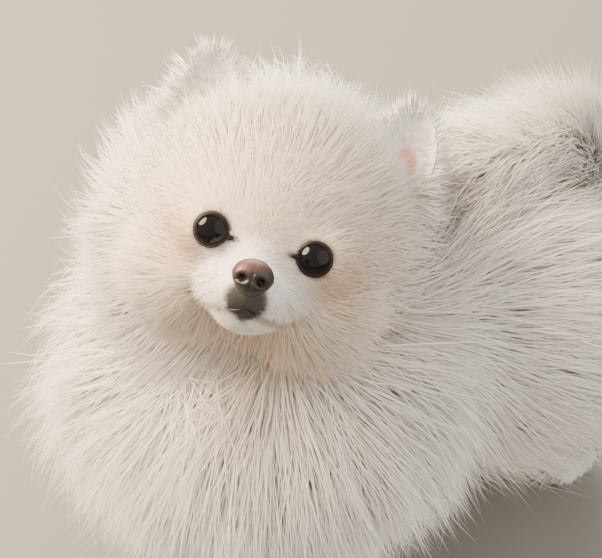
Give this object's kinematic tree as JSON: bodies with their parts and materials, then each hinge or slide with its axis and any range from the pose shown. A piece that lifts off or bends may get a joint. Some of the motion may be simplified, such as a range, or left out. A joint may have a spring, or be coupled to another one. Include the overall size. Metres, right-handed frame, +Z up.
{
  "type": "pomeranian dog model",
  "caption": "Life-size still model of a standing long-coated spitz dog, head turned up and to its left.",
  "frame": {"origin": "middle of the model's footprint box, on the floor under its paws", "axes": "+Y from nose to rump along the body, +X to the dog's left, +Z up"},
  "size_m": [0.2634, 0.3476, 0.299],
  "materials": {
    "coat": "soft white to cream double coat, matt",
    "ear": "short white fur, pink skin inside",
    "eye": "wet, glossy, near black",
    "nose": "damp brown-black, pebbled"
  },
  "bodies": {
    "root": {"head": "coat", "neck": "coat", "torso": "coat", "tail": "coat", "leg_front_left": "coat", "leg_front_right": "coat", "leg_hind_left": "coat", "leg_hind_right": "coat", "ear_left": "ear", "ear_right": "ear", "eye_left": "eye", "eye_right": "eye", "nose": "nose"}
  },
  "joints": []
}
